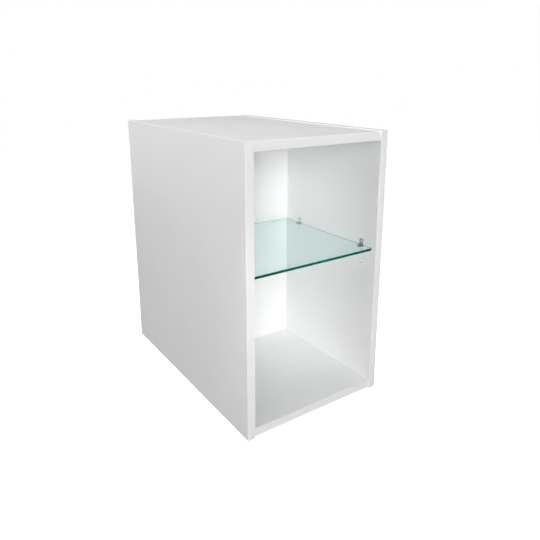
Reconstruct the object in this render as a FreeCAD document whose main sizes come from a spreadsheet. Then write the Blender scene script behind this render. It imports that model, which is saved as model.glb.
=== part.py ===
"""Open wall cabinet of white board with a glass shelf, hung on two adjustable hangers.

Millimetres, +Z up, the open front facing -Y. The wall is the plane Y = 0, and the origin is the
middle of the four wall screws on it. Left-hand pieces are drawn and the right-hand ones mirrored.
"""
import FreeCAD, Part
import os
import re
import Sketcher

doc = FreeCAD.newDocument("OpenCabinet")

# Driving sizes
SIZES = (
    ("cabinet_width", "300", "outside width over both sides"),
    ("cabinet_height", "510", "height of the sides over their bands"),
    ("cabinet_depth", "480", "front edge of the sides to the wall"),
    ("board_thickness", "16", "sides, top and bottom"),
    ("band_thickness", "1", "plastic band glued on the board edges"),
    ("band_bevel", "0.6", "bevel on the outer corners of a band"),
    ("end_set_in", "1.5", "top and bottom panels behind the ends of the sides"),
    ("front_set_in", "2", "top and bottom panels behind the front of the sides"),
    ("compartment_depth", "278", "front edge of the sides to the face of the back panel"),
    ("back_thickness", "8", "back panel"),
    ("groove_depth", "6.5", "groove round the back panel"),
    ("groove_play", "0.15", "play on each face of the back panel in its groove"),
    ("groove_end_play", "0.5", "play between the back panel's edge and the groove's floor"),
    ("biscuit_length", "56", "corner biscuit along its joint"),
    ("biscuit_width", "23", "corner biscuit, over both boards"),
    ("biscuit_thickness", "4", "corner biscuit"),
    ("biscuit_corner", "8", "clipped ends of a biscuit"),
    ("biscuit_bite", "9", "part of a biscuit's width inside the side panel"),
    ("biscuit_margin", "50", "middle of a biscuit to the front edge, the back panel or the wall"),
    ("slot_end_play", "3", "slot beyond each end of its biscuit"),
    ("hole_play", "0.1", "play round biscuits, pins and fixing screws in their slots and holes"),
    ("hole_end_play", "0.5", "room at the blind end of a hole or slot"),
    ("pin_diameter", "4.8", "pin of a shelf support"),
    ("pin_length", "8", "that pin inside the side panel"),
    ("pin_pitch", "32", "height step of the pin holes"),
    ("pin_hole_count", "3", "pin holes in a row, centred on the mid-height"),
    ("pin_row_front", "37", "front row of pin holes to the front edge"),
    ("pin_row_rear", "49", "rear row of pin holes to the back panel"),
    ("support_metal", "1.5", "plate and foot of a shelf support"),
    ("support_width", "10", "shelf support along the shelf's depth"),
    ("support_height", "19", "shelf support over all"),
    ("support_foot", "11", "foot of a shelf support out from the side"),
    ("support_rounding", "2.5", "corners of the plate and the foot"),
    ("support_hole", "4", "round hole in the support's plate"),
    ("support_hole_drop", "5", "that hole below the plate's top"),
    ("cushion_thickness", "1.5", "clear cushion under the glass"),
    ("cushion_length", "7", "cushion along the foot"),
    ("cushion_width", "7", "cushion along the shelf's depth"),
    ("cushion_corner", "1.4", "clipped corners of a cushion"),
    ("cushion_end_gap", "1", "cushion to the end of the foot"),
    ("glass_thickness", "5", "glass shelf"),
    ("glass_side_gap", "0.5", "glass to the plates of the supports"),
    ("glass_front_gap", "7", "glass behind the front edge of the sides"),
    ("glass_rear_gap", "1", "glass to the back panel"),
    ("glass_corner", "2", "clipped corners of the shelf in plan"),
    ("glass_arris", "0.5", "ground arris along the glass edges"),
    ("wall_screw_drop", "100", "middle of the wall screws below the top of the sides"),
    ("wall_screw_rise", "20", "height step of the two screw holes in a wall plate"),
    ("wall_screw_hole", "6.5", "screw hole in a wall plate"),
    ("plate_metal", "2", "sheet of a wall plate"),
    ("plate_width", "60", "wall plate"),
    ("plate_side_gap", "3", "wall plate to the side panel"),
    ("plate_below", "17", "wall plate below the middle of its screws"),
    ("plate_above", "19", "wall plate above the middle of its screws, to the ledge"),
    ("plate_rounding", "1.2", "outer bends of a wall plate"),
    ("lip_gap", "10", "wall to the lip that the hook takes"),
    ("lip_height", "12", "lip above the ledge"),
    ("hook_thickness", "7", "nose of the hook behind the lip"),
    ("nose_rounding", "2.3", "corners of the nose"),
    ("hook_reach", "10", "length of the nose below the lip's top"),
    ("hook_play", "1.5", "nose to the lip"),
    ("arm_height", "12", "arm of the hook"),
    ("stem_height", "13", "stem of the hook at its front"),
    ("stem_step", "1", "room between the stem and the wedge's lowest corner"),
    ("height_travel", "4", "hook up or down from its middle"),
    ("depth_travel", "6", "carriage in or out from its middle"),
    ("wedge_slope", "0.5", "rise of the wedge's face along its length"),
    ("wedge_length", "16", "wedge"),
    ("wedge_thin_end", "13", "height of the wedge's thin end"),
    ("wedge_screw_drop", "5.2", "height screw below the top of the wedge"),
    ("slide_play", "0.1", "play between the wedge and what it slides on"),
    ("running_play", "0.3", "play round the carriage, the hook and the screws"),
    ("screw_diameter", "6", "height screw and depth screw"),
    ("screw_head", "8.4", "head of these screws"),
    ("screw_neck", "4.4", "neck of these screws, which a fork keeps in place"),
    ("screw_head_length", "4", "head of these screws"),
    ("screw_socket", "4", "hexagon socket across its corners"),
    ("screw_socket_depth", "2.5", "hexagon socket"),
    ("depth_screw_bite", "30", "depth screw inside the carriage at its middle"),
    ("carriage_bar", "6", "front bar and rear post of the carriage"),
    ("carriage_top_bar", "10", "top bar of the carriage, which the depth screw enters"),
    ("carriage_floor", "4", "bottom bar of the carriage"),
    ("housing_cavity", "18", "inside width of a hanger's housing"),
    ("housing_wall", "2", "walls of a hanger's housing"),
    ("housing_rear_room", "2", "housing to the lip when the hook is drawn in"),
    ("housing_bevel", "1.6", "outer corners of the housing"),
    ("flange_thickness", "3", "flanges of the housing"),
    ("flange_height", "12", "flanges of the housing, above and below"),
    ("flange_corner", "4", "clipped corners of the flanges"),
    ("fixing_diameter", "5", "fixing screw"),
    ("fixing_length", "11", "fixing screw inside the side panel"),
    ("fixing_head", "9", "head of a fixing screw"),
    ("fixing_head_length", "2.5", "head of a fixing screw"),
    ("access_width", "12", "access hole in the back panel"),
    ("access_corner", "3", "clipped corners of the access hole and its cap"),
    ("cap_rim", "1.5", "rim of an access cap round its hole"),
    ("cap_rim_thickness", "1.2", "rim of an access cap"),
    ("cap_plug_length", "6", "plug of an access cap"),
    ("cap_play", "0.2", "plug of an access cap in its hole"),
)
sizes = doc.addObject("Spreadsheet::Sheet", "Sizes")
for row, (alias, number, note) in enumerate(SIZES, start=1):
    sizes.set(f"A{row}", note)
    sizes.set(f"B{row}", number)
    sizes.setAlias(f"B{row}", alias)
doc.recompute()
ALIASES = {alias for alias, number, note in SIZES}


def cells(text):
    """The expression with each size's name turned into its cell in the sheet."""
    return re.sub(r"[a-z_]+", lambda word: cell_of(word.group()), text)


def cell_of(word):
    """The sheet's cell for a size's name; any other word stays as it is."""
    return "Sizes." + word if word in ALIASES else word


def value(text):
    """The number that an expression gives now, for a sketch's first drawing."""
    return float(sizes.evalExpression(cells(text)))


# Places worked out from the sizes
FRONT = "(-cabinet_depth)"
BOTTOM = "(wall_screw_drop - cabinet_height)"
TOP = "(wall_screw_drop)"
OUTER = "(cabinet_width / 2)"
INNER = "(cabinet_width / 2 - board_thickness)"
LEFT = "(board_thickness - cabinet_width / 2)"
FLOOR = "(wall_screw_drop - cabinet_height + end_set_in + board_thickness)"
CEILING = "(wall_screw_drop - end_set_in - board_thickness)"
BACK_FACE = "(compartment_depth - cabinet_depth)"
BACK_REAR = "(compartment_depth + back_thickness - cabinet_depth)"
PIN_RADIUS = "(pin_diameter / 2)"
PIN_FRONT = "(pin_row_front - cabinet_depth)"
PIN_REAR = "(compartment_depth - pin_row_rear - cabinet_depth)"
PIN_SPAN = "(pin_pitch * (pin_hole_count - 1))"
PIN_LOWEST = "(wall_screw_drop - cabinet_height / 2 - pin_pitch * (pin_hole_count - 1) / 2)"
SHELF = "(wall_screw_drop - cabinet_height / 2 + pin_pitch * (pin_hole_count - 1) / 2)"
FOOT_TOP = f"({SHELF} - cushion_thickness)"
FOOT_BOTTOM = f"({SHELF} - cushion_thickness - support_metal)"
BISCUIT_PLACES = (
    "(biscuit_margin - cabinet_depth)",
    "(compartment_depth - biscuit_margin - cabinet_depth)",
    "(-biscuit_margin)",
)
TOP_JOINT = f"({CEILING} + board_thickness / 2)"
BOTTOM_JOINT = f"({FLOOR} - board_thickness / 2)"

# Places of the hanger, from the wall plate's lip upwards and forwards
LIP_TOP = "(plate_above + lip_height)"
ARM_TOP = "(plate_above + lip_height + arm_height)"
WEDGE_TRAVEL = "(height_travel / wedge_slope)"
WEDGE_DROP = "(wedge_length * wedge_slope)"
CHAMBER_TOP = f"({ARM_TOP} + wedge_thin_end + 2 * slide_play)"
STEM_TOP = f"({ARM_TOP} - {WEDGE_DROP} - height_travel - stem_step)"
STEM_BOTTOM = f"({STEM_TOP} - stem_height)"
CHAMBER_FLOOR = f"({STEM_BOTTOM} - height_travel - running_play)"
CARRIAGE_BOTTOM = f"({CHAMBER_FLOOR} - carriage_floor)"
CARRIAGE_TOP = f"({CHAMBER_TOP} + carriage_top_bar)"
POST_TOP = f"({LIP_TOP} - height_travel - running_play)"
HOUSING_BOTTOM = f"({CARRIAGE_BOTTOM} - running_play - housing_wall)"
HOUSING_TOP = f"({CARRIAGE_TOP} + running_play + housing_wall)"
HOUSING_REAR = "(-lip_gap - plate_metal - depth_travel - housing_rear_room)"
CARRIAGE_REAR = f"({HOUSING_REAR} - depth_travel - running_play)"
CHAMBER_REAR = f"({CARRIAGE_REAR} - carriage_bar)"
WEDGE_MIDDLE = f"({CHAMBER_REAR} - running_play - {WEDGE_TRAVEL} - wedge_length / 2)"
WEDGE_REAR = f"({WEDGE_MIDDLE} + wedge_length / 2)"
WEDGE_FRONT = f"({WEDGE_MIDDLE} - wedge_length / 2)"
CHAMBER_FRONT = f"({WEDGE_FRONT} - {WEDGE_TRAVEL} - running_play)"
CARRIAGE_FRONT = f"({CHAMBER_FRONT} - carriage_bar)"
CAVITY_FRONT = f"({CARRIAGE_FRONT} - depth_travel - running_play)"
HOUSING_FRONT = f"({CAVITY_FRONT} - housing_wall)"
HOUSING_FACE = f"({LEFT} + housing_cavity + housing_wall)"
SCREW_LINE = f"({LEFT} + housing_cavity / 2)"
DEPTH_SCREW = f"({CHAMBER_TOP} + carriage_top_bar / 2)"
HEIGHT_SCREW = f"({CHAMBER_TOP} - slide_play - wedge_screw_drop)"
SCREW_RADIUS = "(screw_diameter / 2)"
FORK_RADIUS = "(screw_neck / 2 + running_play)"
HOUSING_MIDDLE = f"(({HOUSING_FRONT} + {HOUSING_REAR}) / 2)"
FIXING_PLACES = (
    (HOUSING_MIDDLE, f"({HOUSING_BOTTOM} - flange_height / 2)"),
    (HOUSING_MIDDLE, f"({HOUSING_TOP} + flange_height / 2)"),
)
PLATE_LEFT = f"({LEFT} + plate_side_gap)"
PLATE_MIDDLE = f"({PLATE_LEFT} + plate_width / 2)"

nodes = []


# Drawing and shaping steps shared by the pieces
def new_body(label, is_node=True):
    """An empty body; a node's label names the piece."""
    body = doc.addObject("PartDesign::Body", label)
    body.Label = label
    if is_node:
        nodes.append(body)
    return body


def origin_plane(body, role):
    """One of the body's own origin planes."""
    return next(feature for feature in body.Origin.OriginFeatures if feature.Role == role)


def new_sketch(body, role, shift=("0", "0", "0")):
    """A sketch on an origin plane, shifted in the plane and along its normal."""
    sketch = body.newObject("Sketcher::SketchObject", body.Label + "_sketch")
    sketch.AttachmentSupport = [(origin_plane(body, role), "")]
    sketch.MapMode = "FlatFace"
    for axis, amount in zip("xyz", shift):
        sketch.setExpression(f"AttachmentOffset.Base.{axis}", cells(amount))
    return sketch


def dimension(sketch, kind, target, amount):
    """A driving dimension bound to the sheet."""
    index = sketch.addConstraint(Sketcher.Constraint(kind, *target, value(amount)))
    sketch.setExpression(f"Constraints[{index}]", cells(amount))


def place_point(sketch, geometry, point, across, up):
    """Dimensions a point of the sketch from the sketch's origin."""
    dimension(sketch, "DistanceX", (-1, 1, geometry, point), across)
    dimension(sketch, "DistanceY", (-1, 1, geometry, point), up)


def draw_outline(sketch, corners):
    """A closed outline of straight lines through the corners."""
    first = sketch.GeometryCount
    count = len(corners)
    points = [FreeCAD.Vector(value(across), value(up), 0) for across, up in corners]
    for index in range(count):
        sketch.addGeometry(Part.LineSegment(points[index], points[(index + 1) % count]), False)
    for index in range(count):
        after = first + (index + 1) % count
        sketch.addConstraint(Sketcher.Constraint("Coincident", first + index, 2, after, 1))
    for index, (across, up) in enumerate(corners):
        place_point(sketch, first + index, 1, across, up)


def draw_rectangle(sketch, left, low, right, high):
    """A rectangle from its lower left to its upper right corner."""
    draw_outline(sketch, ((left, low), (right, low), (right, high), (left, high)))


def draw_circle(sketch, across, up, radius):
    """A circle by its middle and radius."""
    middle = FreeCAD.Vector(value(across), value(up), 0)
    circle = Part.Circle(middle, FreeCAD.Vector(0, 0, 1), value(radius))
    index = sketch.addGeometry(circle, False)
    place_point(sketch, index, 3, across, up)
    dimension(sketch, "Radius", (index,), radius)


# A sketch's normal is +X, -Y or +Z, and every pad and cut starts at a place and grows towards +
PLANES = {"x": "YZ_Plane", "y": "XZ_Plane", "z": "XY_Plane"}


def sketch_at(body, axis, start):
    """A sketch square to an axis, at a place along it."""
    along = f"-({start})" if axis == "y" else start
    return new_sketch(body, PLANES[axis], ("0", "0", along))


def add_pad(body, sketch, axis, length):
    """Pads a sketch towards the positive end of its axis."""
    pad = body.newObject("PartDesign::Pad", body.Label + "_pad")
    pad.Profile = sketch
    pad.Reversed = axis == "y"
    pad.setExpression("Length", cells(length))
    body.Tip = pad
    return pad


def cut_pocket(body, sketch, axis, length):
    """Cuts a sketch towards the positive end of its axis, and makes sure that it took material."""
    doc.recompute()
    before = body.Shape.Volume
    pocket = body.newObject("PartDesign::Pocket", body.Label + "_pocket")
    pocket.Profile = sketch
    pocket.Reversed = axis != "y"
    pocket.setExpression("Length", cells(length))
    body.Tip = pocket
    doc.recompute()
    if not body.Shape.Volume < before:
        raise RuntimeError(f"{body.Label}: a pocket cut nothing")
    return pocket


def repeat_upwards(body, pocket, sketch, length, count):
    """Repeats a pocket along the sketch's upright axis."""
    pattern = body.newObject("PartDesign::LinearPattern", body.Label + "_pattern")
    pattern.Originals = [pocket]
    pattern.Direction = (sketch, ["V_Axis"])
    pattern.setExpression("Length", cells(length))
    pattern.setExpression("Occurrences", cells(count))
    body.Tip = pattern


def mirror_feature(body, feature):
    """Repeats a feature on the other half of a piece that spans the cabinet."""
    mirrored = body.newObject("PartDesign::Mirrored", body.Label + "_mirrored")
    mirrored.Originals = [feature]
    mirrored.MirrorPlane = (origin_plane(body, "YZ_Plane"), [""])
    body.Tip = mirrored


def revolve(body, axis, origin, outline):
    """Turns an outline of (along, radius) corners about a line along X or Y through a point."""
    sketch = new_sketch(body, "XY_Plane", origin)
    corners = outline if axis == "x" else [(radius, along) for along, radius in outline]
    draw_outline(sketch, corners)
    turned = body.newObject("PartDesign::Revolution", body.Label + "_turned")
    turned.Profile = sketch
    turned.ReferenceAxis = (sketch, ["H_Axis" if axis == "x" else "V_Axis"])
    turned.Angle = 360
    body.Tip = turned


def dress_edges(body, kind, size, chosen):
    """Fillets or chamfers the edges of the body for which the test holds."""
    doc.recompute()
    base = body.Tip
    names = [f"Edge{index}" for index, edge in enumerate(base.Shape.Edges, start=1) if chosen(edge)]
    dressed = body.newObject("PartDesign::" + kind, body.Label + "_" + kind.lower())
    dressed.Base = (base, names)
    dressed.setExpression("Radius" if kind == "Fillet" else "Size", cells(size))
    body.Tip = dressed


# Two places nearer than this count as one
SAME_PLACE = 1e-4


def runs_along(edge, axis):
    """True if a straight edge runs along X, Y or Z."""
    box = edge.BoundBox
    spans = {"x": box.XLength, "y": box.YLength, "z": box.ZLength}
    others = [spans[name] for name in spans if name != axis]
    return max(others) < SAME_PLACE < spans[axis]


def lies_at(edge, axis, place):
    """True if an edge lies in the plane across an axis at a place."""
    return abs(getattr(edge.BoundBox.Center, axis) - value(place)) < SAME_PLACE


def mirror_piece(source, label, is_node=True):
    """The right-hand twin of a left-hand piece."""
    twin = doc.addObject("Part::Mirroring", label)
    twin.Label = label
    twin.Source = source
    twin.Base = FreeCAD.Vector(0, 0, 0)
    twin.Normal = FreeCAD.Vector(1, 0, 0)
    if is_node:
        nodes.append(twin)
    return twin


def group_pieces(label, pieces):
    """One node that holds several like pieces as separate solids."""
    group = doc.addObject("Part::Compound", label)
    group.Label = label
    group.Links = pieces
    nodes.append(group)


# Slots for the corner biscuits, three along each joint
def draw_biscuit_slots(sketch, joint):
    for along in BISCUIT_PLACES:
        draw_rectangle(
            sketch,
            f"{along} - biscuit_length / 2 - slot_end_play",
            f"{joint} - biscuit_thickness / 2 - hole_play",
            f"{along} + biscuit_length / 2 + slot_end_play",
            f"{joint} + biscuit_thickness / 2 + hole_play",
        )


# Side panel: a board with the back panel's groove, pin holes, biscuit slots and fixing holes
side = new_body("left_side_panel")
sketch = sketch_at(side, "x", f"-{OUTER}")
draw_rectangle(
    sketch,
    f"{FRONT} + band_thickness",
    f"{BOTTOM} + band_thickness",
    "-band_thickness",
    f"{TOP} - band_thickness",
)
add_pad(side, sketch, "x", "board_thickness")
sketch = sketch_at(side, "x", f"{LEFT} - groove_depth")
draw_rectangle(
    sketch,
    f"{BACK_FACE} - groove_play",
    f"{FLOOR} - groove_depth",
    f"{BACK_REAR} + groove_play",
    f"{CEILING} + groove_depth",
)
cut_pocket(side, sketch, "x", "groove_depth")
sketch = sketch_at(side, "x", f"{LEFT} - biscuit_bite - hole_end_play")
for joint in (BOTTOM_JOINT, TOP_JOINT):
    draw_biscuit_slots(sketch, joint)
cut_pocket(side, sketch, "x", "biscuit_bite + hole_end_play")
sketch = sketch_at(side, "x", f"{LEFT} - fixing_length - hole_end_play")
for along, up in FIXING_PLACES:
    draw_circle(sketch, along, up, "fixing_diameter / 2 + hole_play")
cut_pocket(side, sketch, "x", "fixing_length + hole_end_play")
sketch = sketch_at(side, "x", f"{LEFT} - pin_length - hole_end_play")
for along in (PIN_FRONT, PIN_REAR):
    draw_circle(sketch, along, PIN_LOWEST, f"{PIN_RADIUS} + hole_play")
pin_holes = cut_pocket(side, sketch, "x", "pin_length + hole_end_play")
repeat_upwards(side, pin_holes, sketch, PIN_SPAN, "pin_hole_count")
mirror_piece(side, "right_side_panel")


# Top and bottom panels: boards between the sides, grooved for the back panel
def span_panel(label, low, groove_start, joint):
    panel = new_body(label)
    outline = sketch_at(panel, "z", low)
    draw_rectangle(
        outline,
        f"-{INNER}",
        f"{FRONT} + front_set_in + band_thickness",
        INNER,
        "-band_thickness",
    )
    add_pad(panel, outline, "z", "board_thickness")
    groove = sketch_at(panel, "z", groove_start)
    draw_rectangle(
        groove,
        f"-{INNER}",
        f"{BACK_FACE} - groove_play",
        INNER,
        f"{BACK_REAR} + groove_play",
    )
    cut_pocket(panel, groove, "z", "groove_depth")
    ends = sketch_at(panel, "x", LEFT)
    draw_biscuit_slots(ends, joint)
    mirror_feature(panel, cut_pocket(panel, ends, "x", "biscuit_width - biscuit_bite + hole_end_play"))


span_panel("top_panel", CEILING, CEILING, TOP_JOINT)
span_panel("bottom_panel", f"{FLOOR} - board_thickness", f"{FLOOR} - groove_depth", BOTTOM_JOINT)


# The outline of an access hole or its cap: a rectangle with clipped corners, grown all round
def draw_access(sketch, grown):
    reach = f"(access_width / 2 + {grown})"
    near = f"({SCREW_LINE} - {reach})"
    far = f"({SCREW_LINE} + {reach})"
    low = f"({HEIGHT_SCREW} - {reach})"
    high = f"({DEPTH_SCREW} + {reach})"
    draw_outline(
        sketch,
        (
            (near, f"{low} + access_corner"),
            (f"{near} + access_corner", low),
            (f"{far} - access_corner", low),
            (far, f"{low} + access_corner"),
            (far, f"{high} - access_corner"),
            (f"{far} - access_corner", high),
            (f"{near} + access_corner", high),
            (near, f"{high} - access_corner"),
        ),
    )


# Back panel: a thinner board in the groove, with an access hole in front of each hanger
BACK_HALF = f"({INNER} + groove_depth - groove_end_play)"
back = new_body("back_panel")
sketch = sketch_at(back, "y", BACK_FACE)
draw_rectangle(
    sketch,
    f"-{BACK_HALF}",
    f"{FLOOR} - groove_depth + groove_end_play",
    BACK_HALF,
    f"{CEILING} + groove_depth - groove_end_play",
)
add_pad(back, sketch, "y", "back_thickness")
sketch = sketch_at(back, "y", BACK_FACE)
draw_access(sketch, "0")
mirror_feature(back, cut_pocket(back, sketch, "y", "back_thickness"))


# Edge bands: strips glued on the board edges, with their outer corners bevelled
def edge_band(label, axis, start, length, rectangle, face):
    band = new_body(label)
    outline = sketch_at(band, axis, start)
    draw_rectangle(outline, *rectangle)
    add_pad(band, outline, axis, length)
    across, place = face
    dress_edges(
        band,
        "Chamfer",
        "band_bevel",
        lambda edge: runs_along(edge, axis) and lies_at(edge, across, place),
    )
    return band


SIDE_X = (f"-{OUTER}", LEFT)
FRONT_Y = (FRONT, f"{FRONT} + band_thickness")
REAR_Y = ("-band_thickness", "0")
SIDE_BANDS = (
    ("front", "z", BOTTOM, "cabinet_height", (SIDE_X[0], FRONT_Y[0], SIDE_X[1], FRONT_Y[1]), ("y", FRONT)),
    ("rear", "z", BOTTOM, "cabinet_height", (SIDE_X[0], REAR_Y[0], SIDE_X[1], REAR_Y[1]), ("y", "0")),
    (
        "top",
        "y",
        FRONT_Y[1],
        "cabinet_depth - 2 * band_thickness",
        (SIDE_X[0], f"{TOP} - band_thickness", SIDE_X[1], TOP),
        ("z", TOP),
    ),
    (
        "bottom",
        "y",
        FRONT_Y[1],
        "cabinet_depth - 2 * band_thickness",
        (SIDE_X[0], BOTTOM, SIDE_X[1], f"{BOTTOM} + band_thickness"),
        ("z", BOTTOM),
    ),
)
for place, axis, start, length, rectangle, face in SIDE_BANDS:
    band = edge_band(f"left_{place}_edge_band", axis, start, length, rectangle, face)
    mirror_piece(band, f"right_{place}_edge_band")
SPAN_FRONT = f"({FRONT} + front_set_in)"
for panel, low in (("top", CEILING), ("bottom", f"({FLOOR} - board_thickness)")):
    high = f"{low} + board_thickness"
    for place, start, face in (("front", SPAN_FRONT, SPAN_FRONT), ("rear", "-band_thickness", "0")):
        edge_band(
            f"{panel}_panel_{place}_band",
            "x",
            f"-{INNER}",
            f"2 * {INNER}",
            (start, low, f"{start} + band_thickness", high),
            ("y", face),
        )

# Corner biscuits: flat beech ovals, three glued into the slots of each of the four corner joints
biscuits = []
for joint, up in (("top", TOP_JOINT), ("bottom", BOTTOM_JOINT)):
    for number, along in enumerate(BISCUIT_PLACES, start=1):
        biscuit = new_body(f"{joint}_biscuit_{number}", is_node=False)
        sketch = sketch_at(biscuit, "z", f"{up} - biscuit_thickness / 2")
        draw_rectangle(
            sketch,
            f"{LEFT} - biscuit_bite",
            f"{along} - biscuit_length / 2",
            f"{LEFT} - biscuit_bite + biscuit_width",
            f"{along} + biscuit_length / 2",
        )
        add_pad(biscuit, sketch, "z", "biscuit_thickness")
        dress_edges(biscuit, "Chamfer", "biscuit_corner", lambda edge: runs_along(edge, "z"))
        biscuits.append(biscuit)
        biscuits.append(mirror_piece(biscuit, f"{joint}_biscuit_{number}_right", is_node=False))
group_pieces("corner_biscuits", biscuits)


# Shelf supports: a cast angle on the side's face, with a pin into the side and a clear cushion
def shelf_support(place, row):
    support = new_body(f"{place}_left_shelf_support")
    near = f"({row} - support_width / 2)"
    plate_face = f"({LEFT} + support_metal)"
    foot_end = f"({LEFT} + support_foot)"
    plate_top = f"({FOOT_BOTTOM} + support_height)"
    profile = sketch_at(support, "y", near)
    draw_outline(
        profile,
        (
            (LEFT, FOOT_BOTTOM),
            (foot_end, FOOT_BOTTOM),
            (foot_end, FOOT_TOP),
            (plate_face, FOOT_TOP),
            (plate_face, plate_top),
            (LEFT, plate_top),
        ),
    )
    add_pad(support, profile, "y", "support_width")
    hole = sketch_at(support, "x", LEFT)
    draw_circle(hole, row, f"{plate_top} - support_hole_drop", "support_hole / 2")
    cut_pocket(support, hole, "x", "support_metal")
    dress_edges(
        support,
        "Fillet",
        "support_rounding",
        lambda edge: (runs_along(edge, "x") and lies_at(edge, "z", plate_top))
        or (runs_along(edge, "z") and lies_at(edge, "x", foot_end)),
    )
    pin = sketch_at(support, "x", f"{LEFT} - pin_length")
    draw_circle(pin, row, SHELF, PIN_RADIUS)
    add_pad(support, pin, "x", "pin_length")
    mirror_piece(support, f"{place}_right_shelf_support")


def support_cushion(place, row):
    cushion = new_body(f"{place}_support_cushion", is_node=False)
    end = f"({LEFT} + support_foot - cushion_end_gap)"
    outline = sketch_at(cushion, "z", FOOT_TOP)
    near = f"{row} - cushion_width / 2"
    far = f"{row} + cushion_width / 2"
    draw_rectangle(outline, f"{end} - cushion_length", near, end, far)
    add_pad(cushion, outline, "z", "cushion_thickness")
    dress_edges(cushion, "Chamfer", "cushion_corner", lambda edge: runs_along(edge, "z"))
    return cushion


cushions = []
for place, row in (("front", PIN_FRONT), ("rear", PIN_REAR)):
    shelf_support(place, row)
    cushion = support_cushion(place, row)
    cushions.append(cushion)
    cushions.append(mirror_piece(cushion, cushion.Label + "_right", is_node=False))
group_pieces("support_cushions", cushions)

# Glass shelf: float glass with clipped corners and a ground arris
GLASS_HALF = f"({INNER} - support_metal - glass_side_gap)"
glass = new_body("glass_shelf")
sketch = sketch_at(glass, "z", SHELF)
draw_rectangle(
    sketch,
    f"-{GLASS_HALF}",
    f"{FRONT} + glass_front_gap",
    GLASS_HALF,
    f"{BACK_FACE} - glass_rear_gap",
)
add_pad(glass, sketch, "z", "glass_thickness")
dress_edges(glass, "Chamfer", "glass_corner", lambda edge: runs_along(edge, "z"))
dress_edges(glass, "Chamfer", "glass_arris", lambda edge: edge.BoundBox.ZLength < SAME_PLACE)


# A fork, open towards the side panel, takes the neck of an adjusting screw
def cut_fork(body, start, up, length):
    slot = sketch_at(body, "y", start)
    draw_rectangle(slot, LEFT, f"{up} - {FORK_RADIUS}", SCREW_LINE, f"{up} + {FORK_RADIUS}")
    cut_pocket(body, slot, "y", length)
    end = sketch_at(body, "y", start)
    draw_circle(end, SCREW_LINE, up, FORK_RADIUS)
    cut_pocket(body, end, "y", length)


# Hanger housing: a cast box on the side's inner face, open to the side and to the wall
housing = new_body("left_hanger_housing")
sketch = sketch_at(housing, "x", LEFT)
draw_rectangle(
    sketch,
    HOUSING_FRONT,
    f"{HOUSING_BOTTOM} - flange_height",
    HOUSING_REAR,
    f"{HOUSING_TOP} + flange_height",
)
add_pad(housing, sketch, "x", "flange_thickness")
dress_edges(housing, "Chamfer", "flange_corner", lambda edge: runs_along(edge, "x"))
sketch = sketch_at(housing, "x", LEFT)
draw_rectangle(sketch, HOUSING_FRONT, HOUSING_BOTTOM, HOUSING_REAR, HOUSING_TOP)
add_pad(housing, sketch, "x", "housing_cavity + housing_wall")
dress_edges(
    housing,
    "Chamfer",
    "housing_bevel",
    lambda edge: lies_at(edge, "x", HOUSING_FACE) and (runs_along(edge, "y") or runs_along(edge, "z")),
)
sketch = sketch_at(housing, "x", LEFT)
draw_rectangle(
    sketch,
    CAVITY_FRONT,
    f"{HOUSING_BOTTOM} + housing_wall",
    HOUSING_REAR,
    f"{HOUSING_TOP} - housing_wall",
)
cut_pocket(housing, sketch, "x", "housing_cavity")
sketch = sketch_at(housing, "y", HOUSING_FRONT)
draw_circle(sketch, SCREW_LINE, HEIGHT_SCREW, "screw_head / 2 + running_play")
cut_pocket(housing, sketch, "y", "housing_wall")
cut_fork(housing, HOUSING_FRONT, DEPTH_SCREW, "housing_wall")
sketch = sketch_at(housing, "x", LEFT)
for along, up in FIXING_PLACES:
    draw_circle(sketch, along, up, "fixing_diameter / 2 + hole_play")
cut_pocket(housing, sketch, "x", "flange_thickness")
mirror_piece(housing, "right_hanger_housing")

# Carriage: a frame that runs in the housing, open to the wall where the hook's arm comes out
carriage = new_body("left_hanger_carriage")
sketch = sketch_at(carriage, "x", f"{LEFT} + running_play")
draw_outline(
    sketch,
    (
        (CARRIAGE_FRONT, CARRIAGE_BOTTOM),
        (CARRIAGE_REAR, CARRIAGE_BOTTOM),
        (CARRIAGE_REAR, POST_TOP),
        (CHAMBER_REAR, POST_TOP),
        (CHAMBER_REAR, CHAMBER_FLOOR),
        (CHAMBER_FRONT, CHAMBER_FLOOR),
        (CHAMBER_FRONT, CHAMBER_TOP),
        (CARRIAGE_REAR, CHAMBER_TOP),
        (CARRIAGE_REAR, CARRIAGE_TOP),
        (CARRIAGE_FRONT, CARRIAGE_TOP),
    ),
)
add_pad(carriage, sketch, "x", "housing_cavity - 2 * running_play")
sketch = sketch_at(carriage, "y", CARRIAGE_FRONT)
draw_circle(sketch, SCREW_LINE, DEPTH_SCREW, f"{SCREW_RADIUS} + running_play")
cut_pocket(carriage, sketch, "y", f"{CARRIAGE_REAR} - {CARRIAGE_FRONT}")
cut_fork(carriage, CARRIAGE_FRONT, HEIGHT_SCREW, "carriage_bar")
mirror_piece(carriage, "right_hanger_carriage")

# Wedge: slides under the carriage's top bar on the height screw and presses on the hook
INSIDE_START = f"{LEFT} + 2 * running_play"
INSIDE_WIDTH = "housing_cavity - 4 * running_play"
wedge = new_body("left_hanger_wedge")
sketch = sketch_at(wedge, "x", INSIDE_START)
draw_outline(
    sketch,
    (
        (WEDGE_FRONT, f"{ARM_TOP} - {WEDGE_DROP} + slide_play"),
        (WEDGE_REAR, f"{ARM_TOP} + slide_play"),
        (WEDGE_REAR, f"{CHAMBER_TOP} - slide_play"),
        (WEDGE_FRONT, f"{CHAMBER_TOP} - slide_play"),
    ),
)
add_pad(wedge, sketch, "x", INSIDE_WIDTH)
sketch = sketch_at(wedge, "y", WEDGE_FRONT)
draw_circle(sketch, SCREW_LINE, HEIGHT_SCREW, f"{SCREW_RADIUS} + running_play")
cut_pocket(wedge, sketch, "y", "wedge_length")
mirror_piece(wedge, "right_hanger_wedge")

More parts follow.
